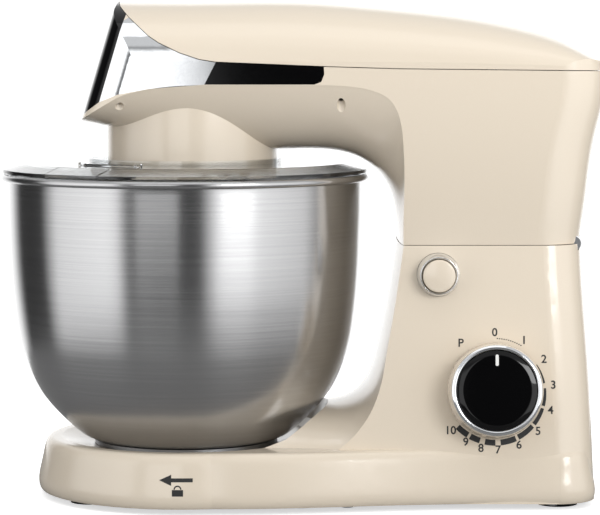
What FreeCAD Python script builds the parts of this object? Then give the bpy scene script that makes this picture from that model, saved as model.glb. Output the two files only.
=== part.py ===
import FreeCAD, Part
import Sketcher
import math
import os
import re

# A tilt-head stand mixer in millimetres. +Z is up, -X is the bowl end, the speed knob is on the -Y side, and
# the origin is on the table under the middle of the machine.

V = FreeCAD.Vector
UP = V(0, 0, 1)
doc = FreeCAD.newDocument("stand_mixer")
sheet = doc.addObject("Spreadsheet::Sheet", "Sizes")

SIZES = {
    # casing
    "wall_thick": 3.0, "parting_height": 166.5, "parting_gap": 0.4, "parting_half": 53.0,
    "head_half": 65.0, "shoulder_height": 278.0, "lean_angle": 8.0,
    "base_bottom": 4.0, "nose_radius": 97.0, "rear_reach": 188.9, "seat_floor": 33.0,
    "trim_thick": 1.4, "seam_gap": 0.5,
    # bowl
    "bowl_axis": -75.0, "bowl_wall": 1.2, "seat_radius": 56.8, "lug_reach": 55.0,
    # planetary drive
    "orbit_radius": 26.25, "output_teeth": 80, "drive_teeth": 14, "ring_teeth": 66, "planet_teeth": 24,
    "drive_module": 1.0, "planet_module": 1.25, "gear_backlash": 0.2, "skirt_axis": -70.3,
    "skirt_radius": 55.2, "skirt_wall": 2.4, "skirt_bottom": 213.5, "plate_bottom": 252.5, "plate_thick": 5.0,
    # screws in the head's belly
    "screw_seat": 262.5, "counterbore": 2.7,
    # motor and belt
    "motor_axis": 125.0, "stator_radius": 44.0, "rotor_radius": 26.0, "shaft_radius": 4.0,
    "pulley_small": 8.0, "pulley_large": 38.0, "belt_low": 281.0, "belt_width": 10.0, "belt_thick": 1.5,
    "running_gap": 0.05,
    # hinge
    "hinge_axis": 175.8, "pin_radius": 2.5, "barrel_radius": 4.6, "knuckle_split": 20.0, "hinge_half": 38.0,
    # controls
    "knob_across": 123.6, "knob_height": 75.0, "knob_radius": 28.8, "spindle_radius": 3.0,
    "button_across": 88.0, "button_height": 148.0, "bezel_radius": 13.75, "cap_radius": 10.4,
    # splash guard
    "guard_radius": 119.0, "guard_hole": 61.0, "guard_low": 211.3, "guard_thick": 2.0, "flap_angle": 235.0,
    "flap_root": 78.0,
}
for row, (alias, value) in enumerate(SIZES.items(), start=1):
    sheet.set(f"A{row}", alias)
    sheet.set(f"B{row}", str(value))
    sheet.setAlias(f"B{row}", alias)
doc.recompute()

NODES = {}


def bound(text):
    """The same expression with every alias named as the sheet's."""
    return re.sub(r"\b[a-z]+_[a-z]+\b", lambda found: "Sizes." + found.group(0), str(text))


def size(text):
    """The value of an expression in the sheet's aliases."""
    value = sheet.evalExpression(bound(text))
    return float(getattr(value, "Value", value))


def node(name, thing):
    """Names a finished piece, which is one file."""
    thing.Label = name
    NODES[name] = thing
    return thing


def place(thing, across=0, depth=0, height=0, turn=None):
    """Puts a parametric object at a point given as expressions, with an optional rotation."""
    if turn:
        thing.Placement = FreeCAD.Placement(V(), turn)
    for axis, text in (("x", across), ("y", depth), ("z", height)):
        if text:
            thing.setExpression(".Placement.Base." + axis, bound(text))
    return thing


def cylinder(name, radius, height, across=0, depth=0, low=0, turn=None):
    made = doc.addObject("Part::Cylinder", name)
    made.setExpression("Radius", bound(radius))
    made.setExpression("Height", bound(height))
    return place(made, across, depth, low, turn)


def block(name, length, width, height, across=0, depth=0, low=0):
    """A box whose corner of least X and Z is at (across, low), centred on depth."""
    made = doc.addObject("Part::Box", name)
    for side, text in (("Length", length), ("Width", width), ("Height", height)):
        made.setExpression(side, bound(text))
    return place(made, across, f"({depth}) - ({width}) / 2", low)


def combined(kind, name, *members):
    """A Part boolean: the first member cut by, or joined or crossed with, the others."""
    made = doc.addObject("Part::" + kind, name)
    if kind in ("Cut", "Fuse", "Common") and len(members) == 2:
        made.Base, made.Tool = members
        return made
    if kind == "Cut":
        tools = doc.addObject("Part::MultiFuse", name + "_tools")
        tools.Shapes = list(members[1:])
        made.Base, made.Tool = members[0], tools
        return made
    made.Shapes = list(members)
    return made


def solid(name, shape):
    made = doc.addObject("Part::Feature", name)
    made.Shape = shape
    return made


def origin_plane(body, role):
    return next(plane for plane in body.Origin.OriginFeatures if plane.Role == role)


def outline_sketch(body, name, plane, points):
    """A closed outline of straight lines whose corners are held by the sheet's expressions."""
    sketch = body.newObject("Sketcher::SketchObject", name)
    sketch.AttachmentSupport = (origin_plane(body, plane), [""])
    sketch.MapMode = "FlatFace"
    corners = [V(size(first), size(second), 0) for first, second in points]
    for start, end in zip(corners, corners[1:] + corners[:1]):
        sketch.addGeometry(Part.LineSegment(start, end), False)
    for index in range(len(corners)):
        following = (index + 1) % len(corners)
        sketch.addConstraint(Sketcher.Constraint("Coincident", index, 2, following, 1))
    for index, texts in enumerate(points):
        for direction, text, value in zip(("DistanceX", "DistanceY"), texts, corners[index][:2]):
            if abs(value) < 1e-9:
                axis = -2 if direction == "DistanceX" else -1
                sketch.addConstraint(Sketcher.Constraint("PointOnObject", index, 1, axis))
                continue
            number = sketch.addConstraint(Sketcher.Constraint(direction, -1, 1, index, 1, value))
            if isinstance(text, str) and value > 0:
                sketch.setExpression(f"Constraints[{number}]", bound(text))
    return sketch


def turned(name, points, across=0, depth=0, height=0, turn=None):
    """A PartDesign body turned about its own Z axis from (radius, height) corners."""
    body = doc.addObject("PartDesign::Body", name)
    sketch = outline_sketch(body, name + "_profile", "XZ_Plane", points)
    spin = body.newObject("PartDesign::Revolution", name + "_turning")
    spin.Profile = sketch
    spin.ReferenceAxis = (sketch, ["V_Axis"])
    spin.Angle = 360
    sketch.Visibility = False
    return place(body, across, depth, height, turn)


def tube(name, outer, inner, length, across=0, depth=0, low=0, turn=None):
    """A turned sleeve, washer or ring."""
    return turned(name, [(inner, 0), (outer, 0), (outer, length), (inner, length)], across, depth, low, turn)


def rod(name, radius, length, across=0, depth=0, low=0, turn=None):
    """A turned pin or disc with no bore."""
    return turned(name, [(0, 0), (radius, 0), (radius, length), (0, length)], across, depth, low, turn)




# ---- casing surfaces -------------------------------------------------------------------------------------

def curve(points):
    """A smooth edge through points."""
    spline = Part.BSplineCurve()
    spline.interpolate([V(*point) for point in points])
    return spline.toShape()


def ring_of(points, curved=()):
    """A closed wire through corners; curved holds the point lists that replace straight sides."""
    edges = []
    for start, end in zip(points, points[1:] + points[:1]):
        between = [run for run in curved if V(*run[0]).isEqual(V(*start), 1e-6) and
                   V(*run[-1]).isEqual(V(*end), 1e-6)]
        edges.append(curve(between[0]) if between else Part.makeLine(V(*start), V(*end)))
    return Part.Wire(edges)


def rounded_plan(front, rear, half, height, front_round, rear_round):
    """A level rectangle with rounded corners, as eight edges in a fixed order."""
    def corner(x, y, reach, start):
        angles = [math.radians(start + step) for step in (0, 45, 90)]
        return Part.Arc(*[V(x + reach * math.cos(a), y + reach * math.sin(a), height) for a in angles]).toShape()
    centres = [(rear - rear_round, half - rear_round, rear_round, 0),
               (front + front_round, half - front_round, front_round, 90),
               (front + front_round, front_round - half, front_round, 180),
               (rear - rear_round, rear_round - half, rear_round, 270)]
    arcs = [corner(*centre) for centre in centres]
    edges = []
    for arc, following in zip(arcs, arcs[1:] + arcs[:1]):
        edges += [arc, Part.makeLine(arc.lastVertex(True).Point, following.firstVertex(True).Point)]
    return Part.Wire(edges)


def between(stations, value):
    """Straight-line interpolation in a list of (place, amount) pairs."""
    for (low, first), (high, second) in zip(stations, stations[1:]):
        if value <= high:
            return first + (second - first) * (value - low) / (high - low)
    return stations[-1][1]


PARTING = size("parting_height")
WALL = size("wall_thick")
HEAD_HALF = size("head_half")
SHOULDER = size("shoulder_height")
REAR_LINE = [(0, 188.9), (28, 188), (61, 186.6), (87, 185.3), (113, 183.4), (136, 182), (156, 180.4),
             (167, 180.6), (195, 183.4), (221, 186), (243, 190), (254, 193), (264, 195), (278, 195),
             (284, 193.6), (292, 189), (330, 178)]


def half_width(height):
    """The sides lean out by lean_angle from the waist down to the table and up to the shoulder."""
    if height < PARTING:
        return size("parting_half") + (PARTING - height) * math.tan(math.radians(size("lean_angle")))
    rise = min((height - PARTING) / (268 - PARTING), 1)
    return size("parting_half") + (HEAD_HALF - size("parting_half")) * math.sin(rise * math.pi / 2)


def head_envelope(inset):
    """The head's plan at each height: leaning front, waisted sides and rounded corners."""
    low = PARTING + size("parting_gap") / 2 + inset
    sections = []
    for height in (low, 190, 214, 238, 256, 268, 282, 300, 328):
        front = -138.8 + 0.3 * (height - 247.6)
        sections.append(rounded_plan(front + inset, between(REAR_LINE, height) - inset,
                                     half_width(height) - inset, height, 26 - inset, 30 - inset))
    return Part.makeLoft(sections, True, False)


def head_band(inset):
    """The crowned top and belly of the head, lofted across from side to side."""
    top = [(-150, 323.5), (-110, 322), (-50, 322), (0, 322), (33, 320), (65.5, 317), (98, 313.5), (131, 308),
           (152, 303), (168, 297.5), (182, 290), (200, 279.5)]
    middle = [(-150, 247), (-124, 241), (-95, 236), (-60, 230.5), (-15, 226.3), (8, 226.6), (26, 225),
              (39, 220.8), (49, 214), (57, 203.7), (61.6, 190), (63.5, 176), (64.2, 160)]
    side = [(-150, 251), (-124, 258.5), (-95, 266), (-60, 268.6), (-15, 268.8), (15, 268.6), (32, 267.7),
            (46, 265), (56, 260), (62.5, 250), (65.5, 236), (67, 205), (68.6, 160)]
    reach = HEAD_HALF - inset
    wires = []
    for share in (-1.02, -0.995, -0.975, -0.93, -0.85, -0.73, -0.55, -0.3, 0,
                  0.3, 0.55, 0.73, 0.85, 0.93, 0.975, 0.995, 1.02):
        y = share * reach
        inside = min(abs(share), 1)
        dome = (1 - inside ** 2.5) ** 0.4
        belly = 1 - inside ** 3.2
        upper = [(x, y, SHOULDER + (z - inset - SHOULDER) * dome) for x, z in top]
        lower = [(e + (m - e) * belly + (inset if mz < 225 else 0), y,
                  ez + (mz - ez) * belly + (inset if mz > 200 else 0))
                 for (m, mz), (e, ez) in zip(middle, side)]
        wires.append(ring_of([upper[0], upper[-1], (upper[-1][0], y, 158), (lower[-1][0], y, 158), lower[-1],
                              lower[0]], (upper, lower[::-1])))
    return Part.makeLoft(wires, True, False)


def head_solid(inset=0.0):
    return head_envelope(inset).common(head_band(inset))


def upright(points, half=200.0):
    """A prism across the whole width from a side outline of (x, z) corners."""
    face = Part.Face(Part.makePolygon([V(x, -half, z) for x, z in points + points[:1]]))
    return face.extrude(V(0, 2 * half, 0))


def base_plan(height, inset):
    """The base's plan: a round nose about the bowl, waisted sides and rounded rear corners."""
    centre = size("bowl_axis")
    nose = size("nose_radius") - inset
    rear = size("rear_reach") - inset
    round_rear = 24 - inset
    tip = math.radians(78)
    start = (centre + nose * math.cos(tip), nose * math.sin(tip))
    flank = [start, (0, 91.5 - inset), (62, 81.5 - inset), (110, 77 - inset), (rear - round_rear, 77 - inset)]

    def side(sign):
        return [(x, sign * y, height) for x, y in flank]

    corner_y = 77 - inset - round_rear
    lean = round_rear * math.sqrt(0.5)
    edges = [curve(side(-1)),
             Part.Arc(V(rear - round_rear, inset - 77, height), V(rear - round_rear + lean, -corner_y - lean, height),
                      V(rear, -corner_y, height)).toShape(),
             Part.makeLine(V(rear, -corner_y, height), V(rear, corner_y, height)),
             Part.Arc(V(rear, corner_y, height), V(rear - round_rear + lean, corner_y + lean, height),
                      V(rear - round_rear, 77 - inset, height)).toShape(),
             curve(side(1)[::-1]),
             Part.Arc(V(start[0], start[1], height), V(centre - nose, 0, height),
                      V(start[0], -start[1], height)).toShape()]
    return Part.Wire(edges)


def base_slab(inset, low):
    """The foot of the machine: a drafted wall, rounded into the land on top."""
    draft = [(low, 1.6 if low < 6 else 0.4), (9, 0), (24, 2.6), (33, 4.6), (36.6, 6.6), (38, 10)]
    return Part.makeLoft([base_plan(height - (inset if height > 30 else 0), inset + drawn)
                          for height, drawn in draft], True, False)


def column_solid(inset, low):
    """The column: leaning sides and rear, and a crowned front that runs out into the base."""
    sections = [rounded_plan(-45, between(REAR_LINE, height) - inset, half_width(height) - inset, height, 12,
                             26 - inset)
                for height in (low, 45, 80, 120, PARTING - size("parting_gap") / 2 - inset)]
    envelope = Part.makeLoft(sections, True, False)
    middle = [(64.4, 172), (62.2, 159), (60.2, 146), (57.6, 130), (54.4, 113), (51, 97), (47.8, 84), (43.9, 74),
              (37.5, 66), (27, 61), (5, 60.4), (-40, 60)]
    side = [(68.4, 172), (66.4, 158), (64.2, 145), (61.7, 130), (58.6, 114), (55.6, 99), (52.6, 83), (49, 71),
            (43.5, 60), (36, 51), (24, 43), (-40, 34)]
    wires = []
    for share in (-1.15, -0.9, -0.6, -0.3, 0, 0.3, 0.6, 0.9, 1.15):
        belly = 1 - min(abs(share), 1.15) ** 2.2
        y = share * 66
        front = [(sx + (mx - sx) * belly + inset, y, sz + (mz - sz) * belly - (inset if mz < 75 else 0))
                 for (mx, mz), (sx, sz) in zip(middle, side)]
        wires.append(ring_of([front[0], front[-1], (-40 + inset, y, low - 3), (200, y, low - 3), (200, y, front[0][2])],
                             (front,)))
    return envelope.common(Part.makeLoft(wires, True, False))


def bowl_dish(floor, clearance):
    """The hollow that the bowl stands in, turned about the bowl's axis."""
    points = [(0, floor), (60, floor), (82, 38 - clearance), (89 + 0.6 * clearance, 43 - 0.6 * clearance),
              (92 + clearance, 50), (94 + clearance, 62), (96 + clearance, 80), (0, 80)]
    face = Part.Face(Part.makePolygon([V(r, 0, z) for r, z in points + points[:1]]))
    dish = face.revolve(V(), UP, 360)
    dish.translate(V(size("bowl_axis"), 0, 0))
    return dish


def base_solid(inset=0.0, low=None):
    low = size("base_bottom") if low is None else low
    return base_slab(inset, low).fuse(column_solid(inset, low)).cut(bowl_dish(size("seat_floor") - inset, inset))


def put(shape, across=0.0, depth=0.0, height=0.0):
    shape.translate(V(across, depth, height))
    return shape


def disc(radius, low, high, across, depth=0.0):
    return Part.makeCylinder(radius, high - low, V(across, depth, low))


def fused(first, *others):
    return first.multiFuse(list(others)).removeSplitter()


def cutter(*shapes):
    return shapes[0] if len(shapes) == 1 else shapes[0].multiFuse(list(shapes[1:]))


# ---- base ------------------------------------------------------------------------------------------------

KNOB_TURN = FreeCAD.Rotation(V(1, 0, 0), 90 - size("lean_angle"))
BUTTON_TURN = FreeCAD.Rotation(V(1, 0, 0), 90)
KNOB_DEPTH = -half_width(size("knob_height"))
BUTTON_DEPTH = -half_width(size("button_height"))
KNOB_SEAT = FreeCAD.Placement(V(size("knob_across"), KNOB_DEPTH, size("knob_height")), KNOB_TURN)
BUTTON_SEAT = FreeCAD.Placement(V(size("button_across"), BUTTON_DEPTH, size("button_height")), BUTTON_TURN)
HINGE = V(size("hinge_axis"), 0, PARTING)
HINGE_CLEAR = size("barrel_radius") + 0.6
BOWL_X = size("bowl_axis")
SCREW_SPOTS = [(-120, 58), (-120, -58), (30, 76), (30, -76), (160, 68), (160, -68)]
FOOT_SPOTS = [(-135, 42), (-135, -42), (0, 55), (0, -55), (165, 50), (165, -50)]


def seated(shape, seat):
    """A shape made along local Z, moved to its place on the side wall."""
    shape.Placement = seat.multiply(shape.Placement)
    return shape


def across_rod(radius, half, clearance=0.0):
    """A rod about the hinge's axis, from -half to half in Y."""
    return Part.makeCylinder(radius, 2 * half + 2 * clearance, HINGE - V(0, half + clearance, 0), V(0, 1, 0))


def base_shell():
    bosses = [disc(6, 6.6, 32, x, y) for x, y in SCREW_SPOTS]
    inside = base_solid(WALL, 2.0)
    shell = base_solid().cut(inside)
    shell = shell.fuse([boss.common(base_solid(1.0, 6.6)) for boss in bosses])
    holes = [disc(1.9, 2, 26, x, y) for x, y in SCREW_SPOTS]
    holes.append(disc(size("seat_radius") + 0.2, 20, 34, BOWL_X))
    holes.append(across_rod(HINGE_CLEAR, size("hinge_half"), 0.4))
    holes.append(Part.makeBox(7, 76.8, 20, V(169.4, -38.4, 150)))
    holes.append(Part.makeBox(12.1, 8, 10, V(80.4, -4.5, 160)))
    holes.append(seated(Part.makeCylinder(size("spindle_radius") + 0.4, 12, V(0, 0, -8)), KNOB_SEAT))
    holes.append(seated(Part.makeCylinder(size("bezel_radius") + 0.05, 20, V(0, 0, -8)), BUTTON_SEAT))
    holes.append(Part.makeCylinder(8.05, 20, V(178, 30, 30), V(1, 0, 0)))
    return solid("base_shell", shell.cut(holes))


def bottom_plate():
    plate = Part.Face(base_plan(4.4, 5.4)).extrude(V(0, 0, 2))
    holes = [disc(2.1, 3, 8, x, y) for x, y in SCREW_SPOTS]
    vents = [Part.makeBox(40, 3, 6, V(80, y, 3)) for y in range(-30, 31, 10)]
    return solid("bottom_plate", plate.cut(holes + vents))


def group(shapes):
    return Part.makeCompound(shapes)


def screw(x, y, head_low, shank, head_radius=3.6, up=1):
    """A pan-head screw with a cross recess, pointing up (1) or down (-1)."""
    head = disc(head_radius, 0, 2, 0)
    slot = cutter(Part.makeBox(4, 1, 1, V(-2, -0.5, -0.1)), Part.makeBox(1, 4, 1, V(-0.5, -2, -0.1)))
    body = head.cut(slot).fuse(disc(1.85, 2, 2 + shank, 0)).removeSplitter()
    if up < 0:
        body.rotate(V(), V(1, 0, 0), 180)
    return put(body, x, y, head_low)


node("base_shell", base_shell())
node("bottom_plate", bottom_plate())
foot = Part.makeCylinder(10, 1.6, V(0, 0, 2.8)).fuse(
    Part.makeCone(13, 10, 2.8)).cut(Part.makeCone(10, 3, 1.4)).removeSplitter()
node("suction_feet", solid("suction_feet", group([put(foot.copy(), x, y) for x, y in FOOT_SPOTS])))
node("base_screws", solid("base_screws", group([screw(x, y, 2.4, 16) for x, y in SCREW_SPOTS])))


def sector(inner, outer, low, high, middle, half_angle, across):
    """A piece of a ring about a vertical axis, half_angle each side of the middle direction."""
    ring = Part.makeCylinder(outer, high - low, V(0, 0, low), UP, 2 * half_angle)
    ring = ring.cut(Part.makeCylinder(inner, high - low + 2, V(0, 0, low - 1)))
    ring.rotate(V(), UP, middle - half_angle)
    return put(ring, across)


LUGS = (90, 210, 330)
seat_radius = size("seat_radius")
seat = Part.makeCylinder(seat_radius, 9, V(0, 0, 24)).cut(Part.makeCylinder(seat_radius - 1.2, 9, V(0, 0, 26)))
seat = fused(put(seat, BOWL_X), *[sector(52.4, seat_radius - 0.6, 31.5, 33, lug, 14, BOWL_X) for lug in LUGS])
node("bowl_seat", solid("bowl_seat", seat))

node("cord_inlet", turned("cord_inlet", [(3.6, 0), (8, 0), (8, 5), (9.5, 5), (9.5, 7.4), (6, 8.4), (3.6, 8.4)],
                          183.4, 30, 30, FreeCAD.Rotation(V(0, 1, 0), 90)))

board = Part.makeBox(62, 1.6, 56, V(98, 24, 56))
parts_on_board = [Part.makeBox(18, 12, 16, V(104, 12, 62)), Part.makeBox(10, 9, 20, V(130, 15, 64)),
                  Part.makeCylinder(5, 14, V(150, 24, 80), V(0, -1, 0)),
                  Part.makeBox(24, 6, 10, V(110, 18, 92)), Part.makeCylinder(4, 11, V(148, 24, 98), V(0, -1, 0))]
node("control_board", solid("control_board", fused(board, *parts_on_board)))

lower_hinge = [across_rod(size("barrel_radius"), size("hinge_half"))]
lower_hinge += [Part.makeBox(5.8, 2 * size("hinge_half"), 26, V(170, -size("hinge_half"), 138))]
gap = size("knuckle_split")
lower_hinge = fused(*lower_hinge).cut([Part.makeBox(20, 2 * gap, 12, V(165, -gap, 161 - 0.3)),
                                       across_rod(size("pin_radius"), 60)])
node("lower_hinge", solid("lower_hinge", lower_hinge))
node("hinge_pin", rod("hinge_pin", "pin_radius", "2 * hinge_half", "hinge_axis", "hinge_half", "parting_height",
                      BUTTON_TURN))

# ---- bowl ------------------------------------------------------------------------------------------------


def offset_outline(points, distance):
    """The same open outline moved sideways by distance, to the left of its direction."""
    moved = []
    for index, (x, z) in enumerate(points):
        before = points[max(index - 1, 0)]
        after = points[min(index + 1, len(points) - 1)]
        dx, dz = after[0] - before[0], after[1] - before[1]
        length = math.hypot(dx, dz)
        moved.append((x - distance * dz / length, z + distance * dx / length))
    return moved


BOWL_SIDE = [(58, 36), (64, 37.2), (72, 42), (84, 54), (96.6, 71), (103.5, 87), (108, 102), (111.5, 126),
             (114.3, 159), (115.1, 190), (115.4, 208)]
inner_side = offset_outline(BOWL_SIDE, size("bowl_wall"))
inner_side[-1] = (inner_side[-1][0], 208)
outside, inside = [curve([(r, 0, z) for r, z in run]) for run in (BOWL_SIDE, inner_side)]
corners = [V(*inner_side[0][:1], 0, inner_side[0][1]), V(0, 0, 37.2), V(0, 0, 36), V(58, 0, 36)]
walls = [Part.makeLine(start, end) for start, end in zip(corners, corners[1:])]
lip = Part.makeLine(V(115.4, 0, 208), V(inner_side[-1][0], 0, 208))
bowl_face = Part.Face(Part.Wire(Part.__sortEdges__([outside, lip, inside] + walls)))
bead = Part.makeTorus(117.5, 2.5, V(0, 0, 208))
bowl = bowl_face.revolve(V(), UP, 360).fuse(bead)
node("bowl", solid("bowl", put(bowl, BOWL_X)))

foot_ring = Part.Face(Part.makePolygon([V(r, 0, z) for r, z in (
    (46, 27.5), (52, 27.5), (52, 33.3), (60, 33.3), (60, 36), (46, 36), (46, 27.5))])).revolve(V(), UP, 360)
lugs = [sector(51, size("lug_reach"), 27.5, 31.2, lug, 12, 0) for lug in LUGS]
node("bowl_foot", solid("bowl_foot", put(fused(foot_ring, *lugs), BOWL_X)))

# ---- speed knob and release button -----------------------------------------------------------------------

KNOB_AT = ("knob_across", KNOB_DEPTH, "knob_height", KNOB_TURN)
BUTTON_AT = ("button_across", BUTTON_DEPTH, "button_height", BUTTON_TURN)
node("knob_skirt", turned("knob_skirt", [(0, 1.2), ("knob_radius + 1.8", 1.2), ("knob_radius + 0.4", 16.5),
                                         (0, 16.5)],
                          *KNOB_AT))
node("knob_ring", turned("knob_ring", [("knob_radius - 3.3", 16.5), ("knob_radius", 16.5), ("knob_radius - 0.6", 19),
                                       ("knob_radius - 2.2", 20), ("knob_radius - 3.3", 20)], *KNOB_AT))
node("knob_face", turned("knob_face", [(0, 16.5), ("knob_radius - 3.3", 16.5), ("knob_radius - 3.3", 18.9),
                                       ("knob_radius - 4.4", 19.6), (0, 20.4)], *KNOB_AT))
node("knob_spindle", turned("knob_spindle", [(0, -18), ("spindle_radius", -18), ("spindle_radius", 1.2), (0, 1.2)],
                            *KNOB_AT))
switch = Part.makeBox(30, 26, 14, V(-15, -13, -20)).fuse(Part.makeCylinder(6, 2, V(0, 0, -6)))
switch = switch.cut(Part.makeCylinder(size("spindle_radius + running_gap"), 30, V(0, 0, -21)))
node("speed_switch", solid("speed_switch", seated(switch.removeSplitter(), KNOB_SEAT)))

node("button_bezel", turned("button_bezel", [("cap_radius + 0.3", -3), ("bezel_radius", -3), ("bezel_radius", 1.6),
                                             ("bezel_radius - 1.6", 9), ("cap_radius + 0.3", 9)], *BUTTON_AT))
node("button_cap", turned("button_cap", [(0, 10.8), ("cap_radius - 1.6", 10.8), ("cap_radius - 1.6", -1),
                                         ("cap_radius", -1), ("cap_radius", 12), ("cap_radius - 0.8", 12.8),
                                         (0, 13.4)], *BUTTON_AT))
node("button_plunger", turned("button_plunger", [(0, -42), (3, -42), (3, 10.8), (0, 10.8)], *BUTTON_AT))
guide = Part.makeCylinder(13, 3, V(0, 0, -9)).fuse(Part.makeCylinder(6, 12, V(0, 0, -21)))
guide = guide.cut(Part.makeCylinder(3 + size("running_gap"), 30, V(0, 0, -30)))
node("button_guide", solid("button_guide", seated(guide.removeSplitter(), BUTTON_SEAT)))
coil = Part.makeLongHelix(3.6, 15.2, 5)
section = Part.Wire(Part.makeCircle(0.6, V(5, 0, 0), V(0, 1, 0)))
spring = Part.Wire(coil.Edges).makePipeShell([section], True, True)
spring.translate(V(0, 0, -5.1))
node("button_spring", solid("button_spring", seated(spring, BUTTON_SEAT)))
latch_depth = BUTTON_DEPTH + 42
node("latch_plate", block("latch_plate", 16, 4, 16, "button_across - 8", latch_depth + 2, "button_height - 8"))

# ---- head casing -----------------------------------------------------------------------------------------

SEAM = [(-116.6, 321.6), (-114.5, 317.5), (-108.4, 310.8), (-102, 305), (-95.5, 299), (-89, 294.7), (-76, 288.4),
        (-63.4, 284.2), (-53, 282.6), (15, 279.8), (62, 278.4), (215, 276.8)]
TRIM_LINE = [(-126.7, 257.6), (-115, 262.3), (-95, 266), (-60.1, 268.7), (15.2, 268.7)]
FASCIA_DEEP = 9.0
SKIRT_X = size("skirt_axis")
HEAD_SCREWS = [(-114, 58.2), (-114, -58.2), (26, 58.2), (26, -58.2)]


def front_line(height, depth):
    """X of the leaning front face, moved back by depth."""
    return -138.8 + depth + 0.3 * (height - 247.6)


above_seam = upright([(-118.6, 330)] + SEAM + [(215, 335), (-118.6, 335)])
nose = upright([(-190, 212.5), (front_line(257.6, FASCIA_DEEP), 257.6), (front_line(330, FASCIA_DEEP), 330),
                (-190, 330)])
wing_zone = upright(TRIM_LINE[:4] + SEAM[8:1:-1] + [(front_line(309, FASCIA_DEEP), 309)])
strip_zone = upright([TRIM_LINE[3], (9, 268.7), (13.4, 270.4), (15.2, 275), SEAM[9], SEAM[8]])
wing_zone = wing_zone.cut([above_seam, nose])
head_outer = head_solid()
head_inner = head_solid(WALL)
shell = head_outer.cut(head_inner)
skin = head_outer.cut(head_solid(size("trim_thick")))
tilt_relief = upright([(HINGE.x, 160), (200, 160), (200, 184.2), (HINGE.x, 167.3)])


def side_trim(zone, side):
    """The thin inlay of a zone on one side of the head."""
    return skin.common(zone).common(Part.makeBox(400, 100, 200, V(-200, 0 if side > 0 else -100, 200)))


strike = [Part.makeBox(8, 3, 29, V(84, 0, 143)), Part.makeBox(8, 4, 3, V(84, -4, 143))]
strike_flange = Part.makeBox(16, 16, 2, V(80, -8, PARTING + size("parting_gap") / 2 + WALL))
upper_hinge = [across_rod(size("barrel_radius"), gap - 0.3),
               Part.makeBox(5.8, 2 * gap - 0.6, 6.6, V(170, 0.3 - gap, 166.7)),
               Part.makeBox(56, 2 * gap - 0.6, 3, V(120, 0.3 - gap, 170.3))]
head_cuts = [disc(size("skirt_radius") + 0.05, 200, 256, SKIRT_X),
             across_rod(HINGE_CLEAR, size("hinge_half"), 0.4),
             Part.makeBox(8, 2 * gap, 8, V(169.8, -gap, 163)), tilt_relief, *[piece.copy() for piece in strike]]
for x, y in HEAD_SCREWS:
    head_cuts += [disc(2, 225, 275, x, y), disc(size("counterbore"), 225, size("screw_seat"), x, y)]

cover_zone = above_seam.copy()
cover_zone.translate(V(0, 0, size("seam_gap")))
node("head_top_cover", solid("head_top_cover", shell.common(cover_zone)))
node("front_fascia", solid("front_fascia", shell.common(nose).cut(above_seam)))
node("head_lower_housing", solid("head_lower_housing", shell.cut(
    [above_seam, nose, skin.common(wing_zone), skin.common(strip_zone)]).cut(head_cuts)))
for name, zone in (("chrome_wings", wing_zone), ("black_strips", strip_zone)):
    node(name, solid(name, group([side_trim(zone, side) for side in (1, -1)])))
node("hub_skirt", tube("hub_skirt", "skirt_radius", "skirt_radius - skirt_wall", "plate_bottom - skirt_bottom - 0.2",
                       "skirt_axis", 0, "skirt_bottom"))
node("upper_hinge", solid("upper_hinge", fused(*upper_hinge).cut(
    [across_rod(size("pin_radius + running_gap"), 60), tilt_relief.cut(across_rod(size("barrel_radius"), 60))])))
node("latch_strike", solid("latch_strike", fused(*strike, strike_flange)))
node("head_screws", solid("head_screws", group([
    screw(x, y, size("screw_seat") - 2, 12, size("counterbore") - 0.2) for x, y in HEAD_SCREWS])))

# ---- planetary drive -------------------------------------------------------------------------------------

PLANET_X = BOWL_X + size("orbit_radius")
AXLE_X = BOWL_X + (size("output_teeth") + size("drive_teeth")) * size("drive_module") / 2
PRESSURE = math.radians(20)


def involute(angle):
    return math.tan(angle) - angle


def gear_outline(teeth, module, inner, outer, backlash, spacing=0.0):
    """A closed outline of involute teeth; the first tooth points along +X, turned by spacing degrees."""
    pitch = module * teeth / 2
    base = pitch * math.cos(PRESSURE)
    radii = [inner] + [max(base, inner) + (outer - max(base, inner)) * step / 3 for step in range(4)]
    points = []
    for tooth in range(teeth):
        middle = 2 * math.pi * tooth / teeth + math.radians(spacing)
        flank = []
        for radius in radii:
            lean = involute(math.acos(min(base / radius, 1)))
            half = math.pi / (2 * teeth) - backlash / (2 * pitch) + involute(PRESSURE) - lean
            flank.append((radius, half))
        for radius, half in [(r, -h) for r, h in flank] + flank[::-1]:
            points.append(V(radius * math.cos(middle + half), radius * math.sin(middle + half), 0))
    return Part.Face(Part.makePolygon(points + points[:1]))


def spur_gear(teeth, module, low, thick, bore, addendum=0.85, spacing=0.0):
    pitch = module * teeth / 2
    face = gear_outline(teeth, module, pitch - 1.2 * module, pitch + addendum * module, size("gear_backlash"),
                        spacing)
    gear = face.extrude(V(0, 0, thick)).cut(Part.makeCylinder(bore, thick))
    return put(gear, height=low)


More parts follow.
